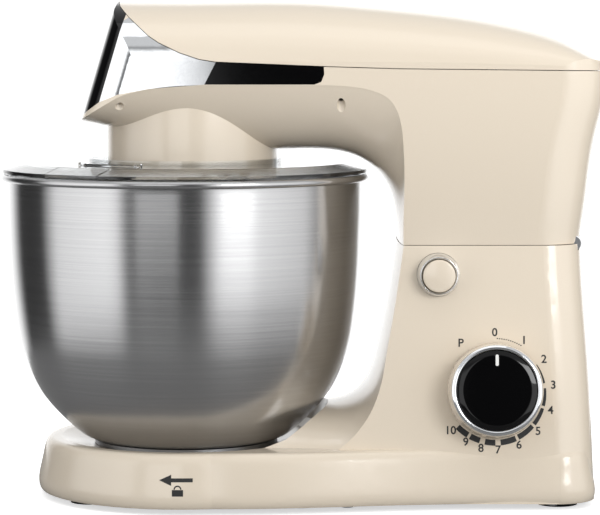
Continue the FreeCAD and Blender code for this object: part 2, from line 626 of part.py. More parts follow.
drive_teeth, output_teeth = int(size("drive_teeth")), int(size("output_teeth"))
planet_teeth, ring_teeth = int(size("planet_teeth")), int(size("ring_teeth"))
gear_low = 262.0
output = spur_gear(output_teeth, size("drive_module"), gear_low, 9, 6)
output = output.cut([disc(7, 260, 275, 24 * math.cos(a), 24 * math.sin(a))
                     for a in [math.radians(60 * step + 30) for step in range(6)]])
node("output_gear", solid("output_gear", put(output, BOWL_X)))
pinion = spur_gear(drive_teeth, size("drive_module"), gear_low - 1, 11, 3, 0.85, 180 / drive_teeth + 180)
node("drive_pinion", solid("drive_pinion", put(pinion, AXLE_X)))
planet = spur_gear(planet_teeth, size("planet_module"), 218, 10, 5)
node("planet_gear", solid("planet_gear", put(planet, PLANET_X)))
ring_pitch = size("planet_module") * ring_teeth / 2
spaces = gear_outline(ring_teeth, size("planet_module"), ring_pitch - 0.85 * size("planet_module"),
                      ring_pitch + 1.2 * size("planet_module"), -size("gear_backlash"))
ring = Part.makeCylinder(47, 10.5, V(0, 0, 217.5)).cut(
    put(spaces.extrude(V(0, 0, 20)), height=210).fuse(Part.makeCylinder(ring_pitch - 0.9, 20, V(0, 0, 210))))
bell = Part.makeCylinder(47, size("plate_bottom") - 228, V(0, 0, 228)).cut(Part.makeCylinder(44.6, 40, V(0, 0, 220)))
node("ring_gear", solid("ring_gear", put(fused(ring, bell), BOWL_X)))

carrier = Part.makeCylinder(40, 6, V(BOWL_X, 0, 231)).fuse(disc(13, 237, 245, BOWL_X)).fuse(
    disc(12, 229.6, 243, PLANET_X))
carrier = carrier.cut([disc(6, 225, 260, BOWL_X), disc(8, 220, 250, PLANET_X)]).removeSplitter()
node("planet_carrier", solid("planet_carrier", carrier))
pillars = [disc(4.5, 216.2, 231, BOWL_X + 27 * math.cos(a), 27 * math.sin(a))
           for a in (math.radians(105), math.radians(180), math.radians(255))]
hub = fused(disc(46.4, 213.6, 216.2, BOWL_X), disc(16, 212, 213.6, PLANET_X), *pillars)
hub = hub.cut(disc(6, 200, 240, PLANET_X))
node("planetary_hub", solid("planetary_hub", hub))
node("carrier_shaft", rod("carrier_shaft", 6, 44, "bowl_axis", 0, 231.6))
node("planet_bush", tube("planet_bush", 8, "5 + running_gap", 13, "bowl_axis + orbit_radius", 0, 229.8))
pin_hole = cylinder("pin_hole", 1.5, 17, "bowl_axis + orbit_radius", 8.5, 196, BUTTON_TURN)
node("tool_shaft", combined("Cut", "tool_shaft", cylinder("tool_rod", 5, 59, "bowl_axis + orbit_radius", 0, 185),
                            pin_hole))
node("cross_pin", rod("cross_pin", 1.5, 17, "bowl_axis + orbit_radius", 8.5, 196, BUTTON_TURN))

plate_low, plate_thick = size("plate_bottom"), size("plate_thick")
plate = Part.makeBox(118, 92, plate_thick, V(-118, -46, plate_low))
plate = plate.fuse([disc(14, 245.4, plate_low, BOWL_X), disc(9, 257, 260.4, AXLE_X)])
plate = plate.cut([disc(9, 240, 262, BOWL_X), disc(6, 240, 262, AXLE_X)] +
                  [disc(2, 250, 260, -112, y) for y in (42, -42)]).removeSplitter()
node("gearbox_plate", solid("gearbox_plate", plate.makeFillet(8, [edge for edge in plate.Edges
     if edge.Length < plate_thick + 0.1 and abs(edge.tangentAt(edge.FirstParameter).z) > 0.9])))


def sleeve(outer, inner, low, high, across):
    return disc(outer, low, high, across).cut(disc(inner + size("running_gap"), low - 1, high + 1, across))


node("gearbox_bearings", solid("gearbox_bearings", group([sleeve(9, 6, 245.5, 257.5, BOWL_X),
                                                         sleeve(6, 3, 252.6, 260.4, AXLE_X)])))
node("intermediate_axle", rod("intermediate_axle", 3, 40.6, AXLE_X, 0, 252.8))
large = "pulley_large"
node("belt_pulley", turned("belt_pulley", [
    (3, 276), ("3 + 6", 276), ("3 + 6", 282), ("pulley_large - 5", 284), ("pulley_large - 5", 279.8),
    ("pulley_large + 2", 279.8), ("pulley_large + 2", 280.8), (large, 280.8), (large, 291.2),
    ("pulley_large + 2", 291.2), ("pulley_large + 2", 292.2), ("pulley_large - 5", 292.2), ("pulley_large - 5", 288),
    (9, 287), (9, 292), (3, 292)], AXLE_X))

# ---- motor -----------------------------------------------------------------------------------------------

MOTOR_X = size("motor_axis")


def belt_run(extra):
    """The face inside a belt round both pulleys, standing off by extra."""
    large_r, small_r = size("pulley_large") + extra, size("pulley_small") + extra
    apart = MOTOR_X - AXLE_X
    tilt = math.acos((large_r - small_r) / apart)
    ends = [(AXLE_X, large_r), (MOTOR_X, small_r)]
    (ax, ay), (bx, by) = [(x + r * math.cos(tilt), r * math.sin(tilt)) for x, r in ends]
    z = size("belt_low")
    edges = [Part.Arc(V(ax, ay, z), V(AXLE_X - large_r, 0, z), V(ax, -ay, z)).toShape(),
             Part.makeLine(V(ax, -ay, z), V(bx, -by, z)),
             Part.Arc(V(bx, -by, z), V(MOTOR_X + small_r, 0, z), V(bx, by, z)).toShape(),
             Part.makeLine(V(bx, by, z), V(ax, ay, z))]
    return Part.Face(Part.Wire(edges))


rise = V(0, 0, size("belt_width"))
belt = belt_run(0.15 + size("belt_thick")).extrude(rise).cut(belt_run(0.15).extrude(rise))
node("drive_belt", solid("drive_belt", belt))
node("motor_pulley", turned("motor_pulley", [
    ("shaft_radius", 280), ("pulley_small + 2", 280), ("pulley_small + 2", 280.8), ("pulley_small", 280.8),
    ("pulley_small", 291.2), ("pulley_small + 2", 291.2), ("pulley_small + 2", 292), ("shaft_radius", 292)],
                            "motor_axis"))
node("motor_shaft", rod("motor_shaft", "shaft_radius", 116, "motor_axis", 0, 177))
node("rotor_core", tube("rotor_core", "rotor_radius", "shaft_radius", 44, "motor_axis", 0, 202))
node("commutator", tube("commutator", 11, "shaft_radius", 12, "motor_axis", 0, 251))
blades = [Part.makeBox(16, 1.2, 7, V(11, -0.6, 190)) for _ in range(11)]
for index, blade in enumerate(blades):
    blade.rotate(V(), UP, 360 * index / 11)
fan = fused(Part.makeCylinder(28, 1.6, V(0, 0, 197)), Part.makeCylinder(12, 9, V(0, 0, 190)), *blades)
fan = fan.cut(Part.makeCylinder(size("shaft_radius"), 20, V(0, 0, 185)))
node("cooling_fan", solid("cooling_fan", put(fan, MOTOR_X)))

stator_radius, rotor_radius = size("stator_radius"), size("rotor_radius")
stator = disc(stator_radius, 204, 244, MOTOR_X).cut(disc(rotor_radius + 0.8, 200, 250, MOTOR_X))
flats = [Part.makeBox(120, 20, 60, V(MOTOR_X - 60, y, 200)) for y in (40, -60)]
slots = [Part.makeBox(34, 9, 60, V(MOTOR_X + x - 17, y - 4.5, 200)) for x in (0,) for y in (33, -33)]
node("motor_stator", solid("motor_stator", stator.cut(flats + slots)))
coils = [Part.makeBox(33.6, 8.6, 58, V(MOTOR_X - 16.8, y - 4.3, 195)) for y in (33, -33)]
node("field_coils", solid("field_coils", group([coil.makeFillet(2.5, [edge for edge in coil.Edges if edge.Length > 50])
                                               for coil in coils])))


def bracket(low, bore, arm_low, arm_high):
    """A bearing bracket: a bridge across the stator with two legs down or up to it."""
    bridge = Part.makeBox(22, 84, 4, V(MOTOR_X - 11, -42, low)).fuse(disc(13, low, low + 8, MOTOR_X))
    legs = [Part.makeBox(9, 5, arm_high - arm_low, V(MOTOR_X + x, y, arm_low)) for x in (-30, 21) for y in (-42, 37)]
    rails = [Part.makeBox(60, 5, 4, V(MOTOR_X - 30, y, low)) for y in (-42, 37)]
    return fused(bridge, *legs, *rails).cut([disc(bore, low - 5, low + 20, MOTOR_X)])


node("motor_brackets", solid("motor_brackets", group([bracket(176, 8, 176, 204), bracket(266, 8, 244, 270)])))
node("motor_bearings", solid("motor_bearings", group([sleeve(8, size("shaft_radius"), low, low + 8, MOTOR_X)
                                                     for low in (176, 266)])))
brushes = [Part.makeBox(6, 14, 6, V(MOTOR_X - 3, y, 254)) for y in (11.3, -25.3)]
holders = [Part.makeBox(10, 12, 12, V(MOTOR_X - 5, y, 251)).cut(Part.makeBox(6, 12, 6, V(MOTOR_X - 3, y, 254)))
           for y in (16, -28)]
node("carbon_brushes", solid("carbon_brushes", group(brushes)))
arms = [Part.makeBox(10, 25, 3, V(MOTOR_X - 5, y, 263)) for y in (12, -37)]
node("brush_holders", solid("brush_holders", group([holder.fuse(arm).removeSplitter()
                                                   for holder, arm in zip(holders, arms)])))

# ---- beater and splash guard -----------------------------------------------------------------------------


def blade_outline(points):
    full = points + [(-x, z) for x, z in points[::-1]]
    return Part.Face(Part.makePolygon([V(x, -3, z) for x, z in full + full[:1]])).extrude(V(0, 6, 0))


beater = blade_outline([(9, 184), (16, 176), (44, 168), (58, 156), (62, 142), (62, 92), (58, 70), (50, 55), (38, 45),
                        (16, 40)])
window = blade_outline([(4, 168), (40, 158), (50, 150), (53, 140), (53, 93), (49, 74), (43, 62), (33, 53), (4, 49)])
bars = [Part.makeBox(8, 6, 140, V(-4, -3, 42))]
for tilt, reach in ((28, 60), (-28, 60), (0, 53)):
    bar = Part.makeBox(2 * reach, 6, 8, V(-reach, -3, 106))
    bar.rotate(V(0, 0, 110), V(0, 1, 0), tilt)
    bars.append(bar.common(window))
stem = Part.makeCylinder(9, 26, V(0, 0, 180)).cut(Part.makeCylinder(5, 26, V(0, 0, 185)))
stem = stem.cut([Part.makeCylinder(1.7, 30, V(0, 15, 196), V(0, -1, 0)),
                 Part.makeBox(3.4, 30, 10, V(-1.7, -15, 196))])
beater = fused(beater.cut(window), *bars, stem).cut(Part.makeCylinder(5, 30, V(0, 0, 185)))
node("flat_beater", solid("flat_beater", put(beater, PLANET_X)))

guard_radius, guard_hole, guard_low = size("guard_radius"), size("guard_hole"), size("guard_low")
flap_angle, flap_root = size("flap_angle"), size("flap_root")


def guard_ring():
    """A shallow dished ring with a turned-down rim."""
    t = size("guard_thick")
    points = [(guard_hole, guard_low + 4), (104, guard_low + 4), (guard_radius, guard_low),
              (guard_radius, guard_low + t), (105, guard_low + 4 + t), (guard_hole + t, guard_low + 4 + t),
              (guard_hole + t, guard_low + 9), (guard_hole, guard_low + 9)]
    ring = Part.Face(Part.makePolygon([V(r, 0, z) for r, z in points + points[:1]])).revolve(V(), UP, 360)
    return put(ring, BOWL_X)


FLAP_WIDE = 20.5
PIN_HIGH = guard_low + 5.7


def at_flap(shape):
    """A shape made along local +X from the bowl's axis, turned round to the pouring place."""
    shape.rotate(V(), UP, flap_angle)
    return put(shape, BOWL_X)


def flap_rod(radius, half):
    return at_flap(Part.makeCylinder(radius, 2 * half, V(flap_root, -half, PIN_HIGH), V(0, 1, 0)))


def flap_zone(start, half):
    return at_flap(Part.makeBox(80, 2 * half, 30, V(start, -half, 200)))


ears = [at_flap(Part.makeBox(4.6, 3, 4, V(flap_root - 2.3, y, guard_low + 4))) for y in (21, -24)]
flap = fused(guard_ring().common(flap_zone(flap_root - 0.8, FLAP_WIDE)), flap_rod(1.5, FLAP_WIDE),
             flap_rod(0.9, 23.4))
clips = []
for angle in (60, 150, 200, 300):
    clip = Part.makeBox(12, 8, 2, V(52, -4, guard_low + 4))
    clip.rotate(V(), UP, angle)
    clips.append(put(clip, BOWL_X).cut(disc(size("skirt_radius"), 200, 250, SKIRT_X)))
guard = fused(guard_ring().cut(flap_zone(flap_root - 2.4, FLAP_WIDE + 0.5)), *clips, *ears).cut(flap_rod(0.95, 25))
node("splash_guard", solid("splash_guard", guard))
node("pour_flap", solid("pour_flap", flap))


# ---- checks and files ------------------------------------------------------------------------------------

doc.recompute()
for thing in doc.Objects:
    if {"Invalid", "Error"} & set(thing.State):
        raise RuntimeError(f"{thing.Label} failed: {thing.State}")
os.makedirs("parts", exist_ok=True)
for name, thing in NODES.items():
    shape = thing.Shape
    if shape.isNull() or not shape.isValid():
        raise RuntimeError(f"{name} has no valid shape")
    shape.exportStep(f"parts/{name}.step")
    print(f"{name}: {len(shape.Solids)} solids, {shape.Volume / 1000:.1f} cm3")
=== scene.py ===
import math

import bmesh
import bpy
import numpy as np
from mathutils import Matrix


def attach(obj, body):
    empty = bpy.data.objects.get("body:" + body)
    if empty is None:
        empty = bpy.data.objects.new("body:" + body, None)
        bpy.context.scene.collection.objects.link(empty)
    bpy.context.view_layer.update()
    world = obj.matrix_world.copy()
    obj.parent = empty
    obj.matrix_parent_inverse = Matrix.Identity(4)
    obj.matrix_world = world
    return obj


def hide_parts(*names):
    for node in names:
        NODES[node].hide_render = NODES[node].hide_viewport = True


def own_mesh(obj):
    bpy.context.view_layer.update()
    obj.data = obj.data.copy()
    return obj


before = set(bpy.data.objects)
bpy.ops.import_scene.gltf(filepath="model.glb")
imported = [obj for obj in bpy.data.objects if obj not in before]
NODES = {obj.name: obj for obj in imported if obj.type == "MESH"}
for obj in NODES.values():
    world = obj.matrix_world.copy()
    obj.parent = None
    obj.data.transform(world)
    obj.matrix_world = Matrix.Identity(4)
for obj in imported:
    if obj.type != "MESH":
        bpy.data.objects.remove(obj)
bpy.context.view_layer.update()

# Camera: a long lens 1.7 m from the machine's side, a little above the head, level from left to right and
# pitched down by about five degrees.
camera_data = bpy.data.cameras.new("camera")
camera_data.lens = 155.8
camera_data.sensor_width = 36.0
camera_data.clip_start = 0.05
camera = bpy.data.objects.new("camera", camera_data)
camera.location = (0.0, -1.7, 0.293)
camera.rotation_euler = (math.radians(90 - 4.66), 0, 0)
bpy.context.scene.collection.objects.link(camera)
bpy.context.scene.camera = camera
bpy.context.scene.view_settings.view_transform = "Standard"

# Room: a white sheet half a metre round, and a studio drawn as a sky. Its bright upright panels stand to the
# left and right of the camera and a broad one hangs overhead, with dark gaps between them that give steel and
# gloss their bands. The sky itself looks plain white.
def linear(code):
    """An sRGB hex colour as linear RGBA."""
    parts = [int(code[i:i + 2], 16) / 255 for i in (1, 3, 5)]
    return tuple(p / 12.92 if p <= 0.04045 else ((p + 0.055) / 1.055) ** 2.4 for p in parts) + (1.0,)


def add(tree, kind, values=None, links=None, **settings):
    """Adds one shader node: settings are its properties, values its sockets, links what feeds its sockets."""
    made = tree.nodes.new("ShaderNode" + kind)
    for name, value in settings.items():
        setattr(made, name, value)
    for name, value in (values or {}).items():
        made.inputs[name].default_value = value
    for name, source in (links or {}).items():
        tree.links.new(source, made.inputs[name])
    return made


world = bpy.data.worlds.new("studio")
bpy.context.scene.world = world
world.use_nodes = True
sky_tree = world.node_tree
sky_place = add(sky_tree, "TexCoord")
sky_way = add(sky_tree, "SeparateXYZ", None, {"Vector": sky_place.outputs["Generated"]})
sky_back = add(sky_tree, "Math", {1: -1.0}, {0: sky_way.outputs["Y"]}, operation="MULTIPLY")
sky_turn = add(sky_tree, "Math", None, {0: sky_way.outputs["X"], 1: sky_back.outputs[0]},
               operation="ARCTAN2")
sky_share = add(sky_tree, "Math", {1: 1 / (2 * math.pi), 2: 0.5}, {0: sky_turn.outputs[0]},
                operation="MULTIPLY_ADD")


def brightness_ramp(tree, source, stops):
    """A grey ramp over (place, brightness) stops."""
    ramp = add(tree, "ValToRGB", None, {"Fac": source})
    for _ in stops[2:]:
        ramp.color_ramp.elements.new(0.5)
    for element, (place, grey) in zip(ramp.color_ramp.elements, stops):
        element.position = place
        element.color = (grey, grey, grey, 1)
    return ramp


# Degrees round the sky from the camera's side, and how bright the panel is there.
PANEL_STOPS = [(-180, 0.9), (-150, 0.7), (-134, 0.03), (-104, 0.04), (-90, 0.8), (-50, 1.0), (-43, 0.9),
               (-36, 0.15), (-14, 0.03), (12, 0.05), (24, 1.0), (46, 1.0), (86, 0.7), (104, 0.05),
               (134, 0.04), (150, 0.7), (180, 0.9)]
sky_panels = brightness_ramp(sky_tree, sky_share.outputs[0],
                             [((angle + 180) / 360, grey) for angle, grey in PANEL_STOPS])
sky_height = add(sky_tree, "MapRange", {"From Min": -1.0, "From Max": 1.0}, {"Value": sky_way.outputs["Z"]})
sky_top = brightness_ramp(sky_tree, sky_height.outputs["Result"],
                          [(0.0, 0.0), (0.70, 0.0), (0.78, 1.0), (1.0, 1.0)])
# A low panel just left of the camera, level with the head, whitens the plated wings and ends short of the
# black strips.
low_turn = brightness_ramp(sky_tree, sky_share.outputs[0],
                           [((angle + 180) / 360, grey) for angle, grey in
                            [(-180, 0.0), (-31, 0.0), (-29, 0.9), (-2.5, 0.9), (-2.0, 0.0), (180, 0.0)]])
low_height = brightness_ramp(sky_tree, sky_height.outputs["Result"],
                             [(0.0, 0.0), (0.462, 0.0), (0.470, 1.0), (0.68, 1.0), (0.74, 0.0), (1.0, 0.0)])
low_panel = add(sky_tree, "Math", None, {0: low_turn.outputs["Color"], 1: low_height.outputs["Color"]},
                operation="MULTIPLY")
sky_round = add(sky_tree, "Math", None, {0: low_panel.outputs[0], 1: sky_panels.outputs["Color"]},
                operation="MAXIMUM")
sky_mix = add(sky_tree, "Mix", None, {"Factor": sky_top.outputs["Color"]}, data_type="RGBA")
sky_tree.links.new(sky_round.outputs[0], sky_mix.inputs[6])
sky_mix.inputs[7].default_value = (0.42, 0.42, 0.42, 1)
sky_light = sky_tree.nodes["Background"]
sky_light.inputs["Strength"].default_value = 1.7
sky_tree.links.new(sky_mix.outputs[2], sky_light.inputs["Color"])
sky_white = add(sky_tree, "Background", {"Color": (1, 1, 1, 1), "Strength": 1.05})
sky_eye = add(sky_tree, "LightPath")
sky_choice = add(sky_tree, "MixShader", None, {0: sky_eye.outputs["Is Camera Ray"], 1: sky_light.outputs[0],
                                               2: sky_white.outputs[0]})
sky_tree.links.new(sky_choice.outputs[0], sky_tree.nodes["World Output"].inputs["Surface"])


def plain_mesh(name, points, faces, smooth=True):
    """A mesh object from arrays of points and quads, at the origin."""
    mesh = bpy.data.meshes.new(name)
    mesh.from_pydata(np.asarray(points, float).reshape(-1, 3).tolist(), [],
                     [face.tolist() if hasattr(face, "tolist") else list(face) for face in faces])
    mesh.validate()
    if smooth:
        mesh.polygons.foreach_set("use_smooth", np.ones(len(mesh.polygons), bool))
    made = bpy.data.objects.new(name, mesh)
    bpy.context.scene.collection.objects.link(made)
    return made


def grid_faces(rows, columns, closed_rows=False, closed_columns=False):
    """Quads of a grid of rows by columns points; a closed direction joins its last line to its first."""
    r = np.arange(rows if closed_rows else rows - 1)
    c = np.arange(columns if closed_columns else columns - 1)
    r, c = np.meshgrid(r, c, indexing="ij")
    r, c = r.ravel(), c.ravel()
    r2, c2 = (r + 1) % rows, (c + 1) % columns
    return np.stack([r * columns + c, r * columns + c2, r2 * columns + c2, r2 * columns + c], axis=1)


def material(name, colour, roughness, metallic=0.0, **sockets):
    """A principled material; sockets are further values by their name with underscores for spaces."""
    made = bpy.data.materials.new(name)
    made.use_nodes = True
    shader = made.node_tree.nodes["Principled BSDF"]
    shader.inputs["Base Color"].default_value = linear(colour)
    shader.inputs["Roughness"].default_value = roughness
    shader.inputs["Metallic"].default_value = metallic
    for socket, value in sockets.items():
        shader.inputs[socket.replace("_", " ")].default_value = value
    return made, made.node_tree, shader


FLOOR_SPOKES = 64
floor_r = np.concatenate([[0.0], np.linspace(0.1, 0.5, 9)])
floor_turns = np.linspace(0, 2 * math.pi, FLOOR_SPOKES, endpoint=False)
floor_points = np.stack([np.outer(floor_r, np.cos(floor_turns)), np.outer(floor_r, np.sin(floor_turns)),
                         np.zeros((len(floor_r), FLOOR_SPOKES))], axis=2)
floor = plain_mesh("studio_floor", floor_points, grid_faces(len(floor_r), FLOOR_SPOKES, closed_columns=True))
paper, paper_tree, paper_shader = material("white_paper_floor", "#F4F4F4", 0.9)
# Matt paper, blown out white to the eye, while black flags beside it keep most of its light off the machine.
paper_shader.inputs["Emission Color"].default_value = linear("#FFFFFF")
paper_eye = add(paper_tree, "LightPath")
paper_glow = add(paper_tree, "Math", {1: 0.62}, {0: paper_eye.outputs["Is Camera Ray"]}, operation="MULTIPLY")
paper_tree.links.new(paper_glow.outputs[0], paper_shader.inputs["Emission Strength"])
paper_tone = add(paper_tree, "Mix", None, {"Factor": paper_eye.outputs["Is Camera Ray"]}, data_type="RGBA")
paper_tone.inputs[6].default_value = linear("#8C8C8C")
paper_tone.inputs[7].default_value = linear("#F4F4F4")
paper_tree.links.new(paper_tone.outputs[2], paper_shader.inputs["Base Color"])
floor.data.materials.append(paper)


def soft_box(name, place, target, width, height, power):
    """A rectangular studio lamp at place that faces target; sizes are in metres and power in watts."""
    light = bpy.data.lights.new(name, "AREA")
    light.shape = "RECTANGLE"
    light.size = width
    light.size_y = height
    light.energy = power
    made = bpy.data.objects.new(name, light)
    made.location = place
    toward = np.array(target) - np.array(place)
    made.rotation_euler = (math.atan2(math.hypot(*toward[:2]), -toward[2]), 0,
                           math.atan2(toward[1], toward[0]) - math.pi / 2)
    bpy.context.scene.collection.objects.link(made)


soft_box("overhead_box", (-0.1, -0.4, 1.5), (0, 0, 0.2), 1.3, 0.8, 2)
soft_box("front_box", (1.0, -1.5, 0.7), (0.05, 0, 0.12), 0.7, 0.5, 9)

# Casing: the base, the head's housing and its cover are injection-moulded ABS in a glossy cream, with the
# slight unevenness that polished moulds leave in the reflections. Moulded ABS, polished: a soft shine with a
# clear coat's sharper one over it, in a warm cream.
def show_cad(material_made, *names):
    """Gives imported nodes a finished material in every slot."""
    for name in names:
        data = NODES[name].data
        data.materials.clear()
        data.materials.append(material_made)


def surface_noise(tree, shader, scale, strength, colour=None, mottled=None, rough=None, distance=0.0002):
    """Fine unevenness: a bump of the distance in metres, and a little change of colour or roughness with it.

    Scale is in patches a metre, so that 900 gives marks of about 1.1 mm and 2500 of 0.4 mm."""
    place = add(tree, "TexCoord")
    noise = add(tree, "TexNoise", {"Scale": scale, "Detail": 4.0}, {"Vector": place.outputs["Object"]})
    bump = add(tree, "Bump", {"Strength": strength, "Distance": distance}, {"Height": noise.outputs["Fac"]})
    tree.links.new(bump.outputs["Normal"], shader.inputs["Normal"])
    if mottled:
        mix = add(tree, "Mix", data_type="RGBA")
        mix.inputs[6].default_value = linear(colour)
        mix.inputs[7].default_value = linear(mottled)
        tree.links.new(noise.outputs["Fac"], mix.inputs["Factor"])
        tree.links.new(mix.outputs[2], shader.inputs["Base Color"])
    if rough:
        spread = add(tree, "MapRange", {"To Min": rough[0], "To Max": rough[1]},
                     {"Value": noise.outputs["Fac"]})
        tree.links.new(spread.outputs["Result"], shader.inputs["Roughness"])
    return noise


cream, cream_tree, cream_shader = material("glossy_cream_abs", "#E6DAC8", 0.16, Coat_Weight=0.25,
                                           Coat_Roughness=0.06, Subsurface_Weight=0.0)
surface_noise(cream_tree, cream_shader, 900.0, 0.012, "#E6DAC8", "#E4D7C4", (0.13, 0.19), 0.00005)
show_cad(cream, "base_shell", "head_lower_housing", "head_top_cover")

# Front of the head: a piano-black panel and two black inlays, moulded in gloss ABS, with chrome-plated wings
# between them that are pressed into the housing.
# Piano-black ABS: almost no colour of its own, so that it shows only what it mirrors.
black_gloss, black_tree, black_shader = material("piano_black_abs", "#020203", 0.05, Specular_IOR_Level=0.35)
surface_noise(black_tree, black_shader, 500.0, 0.01, "#020203", "#040405", (0.04, 0.08), 0.00005)
# Chrome plate on plastic: a near mirror, a touch softer than glass.
chrome, chrome_tree, chrome_shader = material("bright_chrome_plate", "#E8EAEC", 0.06, 1.0)
surface_noise(chrome_tree, chrome_shader, 700.0, 0.01, "#E8EAEC", "#E2E4E7", (0.04, 0.09), 0.00005)
show_cad(black_gloss, "front_fascia", "black_strips")
show_cad(chrome, "chrome_wings")

# Underside: a ribbed nylon plate screwed into the base, six soft rubber suction feet, the seat that the bowl
# locks into and the cord's gland. Glass-filled nylon, spark-textured: a dull black with a fine grain.
dark_plastic, dark_tree, dark_shader = material("moulded_black_nylon", "#1A1A1C", 0.5)
surface_noise(dark_tree, dark_shader, 2500.0, 0.2, "#1A1A1C", "#202022", (0.45, 0.6), 0.0001)
# Moulded rubber: matt, with faint blooming.
rubber, rubber_tree, rubber_shader = material("soft_black_rubber", "#151515", 0.8)
surface_noise(rubber_tree, rubber_shader, 1800.0, 0.25, "#151515", "#1C1C1C", (0.7, 0.9), 0.0001)
# Turned steel: bright, with the tool's fine unevenness.
machined, machined_tree, machined_shader = material("machined_steel", "#A9ABAE", 0.3, 1.0)
surface_noise(machined_tree, machined_shader, 1500.0, 0.08, "#A9ABAE", "#9A9CA0", (0.24, 0.4), 0.0001)
show_cad(dark_plastic, "bottom_plate", "bowl_seat", "cord_inlet")
show_cad(rubber, "suction_feet")
show_cad(machined, "base_screws")

# Hinge and latch: turned and stamped steel, bright where it was machined.
show_cad(machined, "lower_hinge", "upper_hinge", "hinge_pin", "latch_plate", "latch_strike", "head_screws")

# Controls behind the wall: nylon switch, guide and plunger, a steel spindle and a lacquered circuit board.
# Solder lacquer over glass laminate: a half-gloss green.
board_green, board_tree, board_shader = material("lacquered_circuit_board", "#1D5A34", 0.35)
surface_noise(board_tree, board_shader, 300.0, 0.1, "#1D5A34", "#174A2A", (0.3, 0.45), 0.0001)
show_cad(dark_plastic, "speed_switch", "button_guide", "button_plunger")
show_cad(machined, "knob_spindle")
show_cad(board_green, "control_board")

# Motor: a stack of varnished iron plates with copper windings, a commutator, carbon brushes in nylon holders
# and a nylon fan, held by steel brackets and bearings. Varnished iron plates: a dark, half-dull metal.
laminated, laminated_tree, laminated_shader = material("laminated_iron", "#5C5F66", 0.5, 0.9)
surface_noise(laminated_tree, laminated_shader, 900.0, 0.2, "#5C5F66", "#4B4E55", (0.4, 0.6), 0.0001)
# Enamelled wire: copper with an orange varnish.
copper, copper_tree, copper_shader = material("enamelled_copper_winding", "#B4622D", 0.3, 1.0)
surface_noise(copper_tree, copper_shader, 1500.0, 0.3, "#B4622D", "#9A4E20", (0.22, 0.4), 0.0002)
# Pressed carbon: a soot-black, dull block.
carbon, carbon_tree, carbon_shader = material("pressed_carbon", "#1B1B1E", 0.6)
surface_noise(carbon_tree, carbon_shader, 2500.0, 0.3, "#1B1B1E", "#26262A", (0.5, 0.7), 0.0001)
show_cad(laminated, "motor_stator", "rotor_core")
show_cad(copper, "field_coils", "commutator")
show_cad(carbon, "carbon_brushes")
show_cad(dark_plastic, "brush_holders", "cooling_fan")
show_cad(machined, "motor_shaft", "motor_brackets", "motor_bearings")

# Belt drive: nylon pulleys joined by a ribbed rubber belt.
show_cad(dark_plastic, "motor_pulley", "belt_pulley")
show_cad(rubber, "drive_belt")

# Planetary drive: hobbed steel gears and shafts in sintered bronze bearings, on a plate and a carrier cast in
# aluminium, with a plated hub over them.
# Die-cast aluminium: pale, with the rough skin of the die.
cast, cast_tree, cast_shader = material("die_cast_aluminium", "#B9BBBD", 0.42, 1.0)
surface_noise(cast_tree, cast_shader, 700.0, 0.25, "#B9BBBD", "#AEB0B3", (0.36, 0.5), 0.0001)
# Sintered bronze: a porous, oily brown metal.
bronze, bronze_tree, bronze_shader = material("sintered_bronze", "#A87A45", 0.4, 1.0)
surface_noise(bronze_tree, bronze_shader, 2500.0, 0.3, "#A87A45", "#8E6537", (0.34, 0.5), 0.0001)
show_cad(cast, "gearbox_plate", "planet_carrier")
show_cad(bronze, "gearbox_bearings", "planet_bush")
show_cad(machined, "intermediate_axle", "drive_pinion", "output_gear", "carrier_shaft", "planet_gear",
         "ring_gear")
show_cad(chrome, "planetary_hub")

# Beater: a flat blade cast in aluminium on a steel shaft, held by a cross pin.
show_cad(machined, "tool_shaft", "cross_pin")
show_cad(cast, "flat_beater")

# Splash guard and its pouring flap: clear moulded polycarbonate, with the light tint such a ring has at its
# edge. Clear polycarbonate: glass-like, slightly wavy where it flowed in the mould.
clear, clear_tree, clear_shader = material("clear_polycarbonate", "#F4F6F7", 0.06, Transmission_Weight=1.0,
                                           IOR=1.58)
surface_noise(clear_tree, clear_shader, 60.0, 0.06, distance=0.0004)
show_cad(clear, "splash_guard", "pour_flap")

# Mixing bowl: one deep-drawn stainless steel shell with a rolled rim, spun and brushed round and round, so
# that the light stands on it in upright bands. A low foot with three bayonet lugs is welded under it.
def rounded(corners, radius, steps=5):
    """An outline of (r, z) corners, each inner one replaced by a quadratic curve that starts radius away."""
    path = [np.array(corners[0], float)]
    for before, here, after in zip(corners, corners[1:], corners[2:]):
        before, here, after = (np.array(p, float) for p in (before, here, after))
        back, ahead = before - here, after - here
        reach_back = min(radius, np.hypot(*back) * 0.45)
        reach_ahead = min(radius, np.hypot(*ahead) * 0.45)
        start = here + back / np.hypot(*back) * reach_back
        end = here + ahead / np.hypot(*ahead) * reach_ahead
        for t in np.linspace(0, 1, steps):
            path.append((1 - t) ** 2 * start + 2 * t * (1 - t) * here + t ** 2 * end)
    path.append(np.array(corners[-1], float))
    return np.array(path)


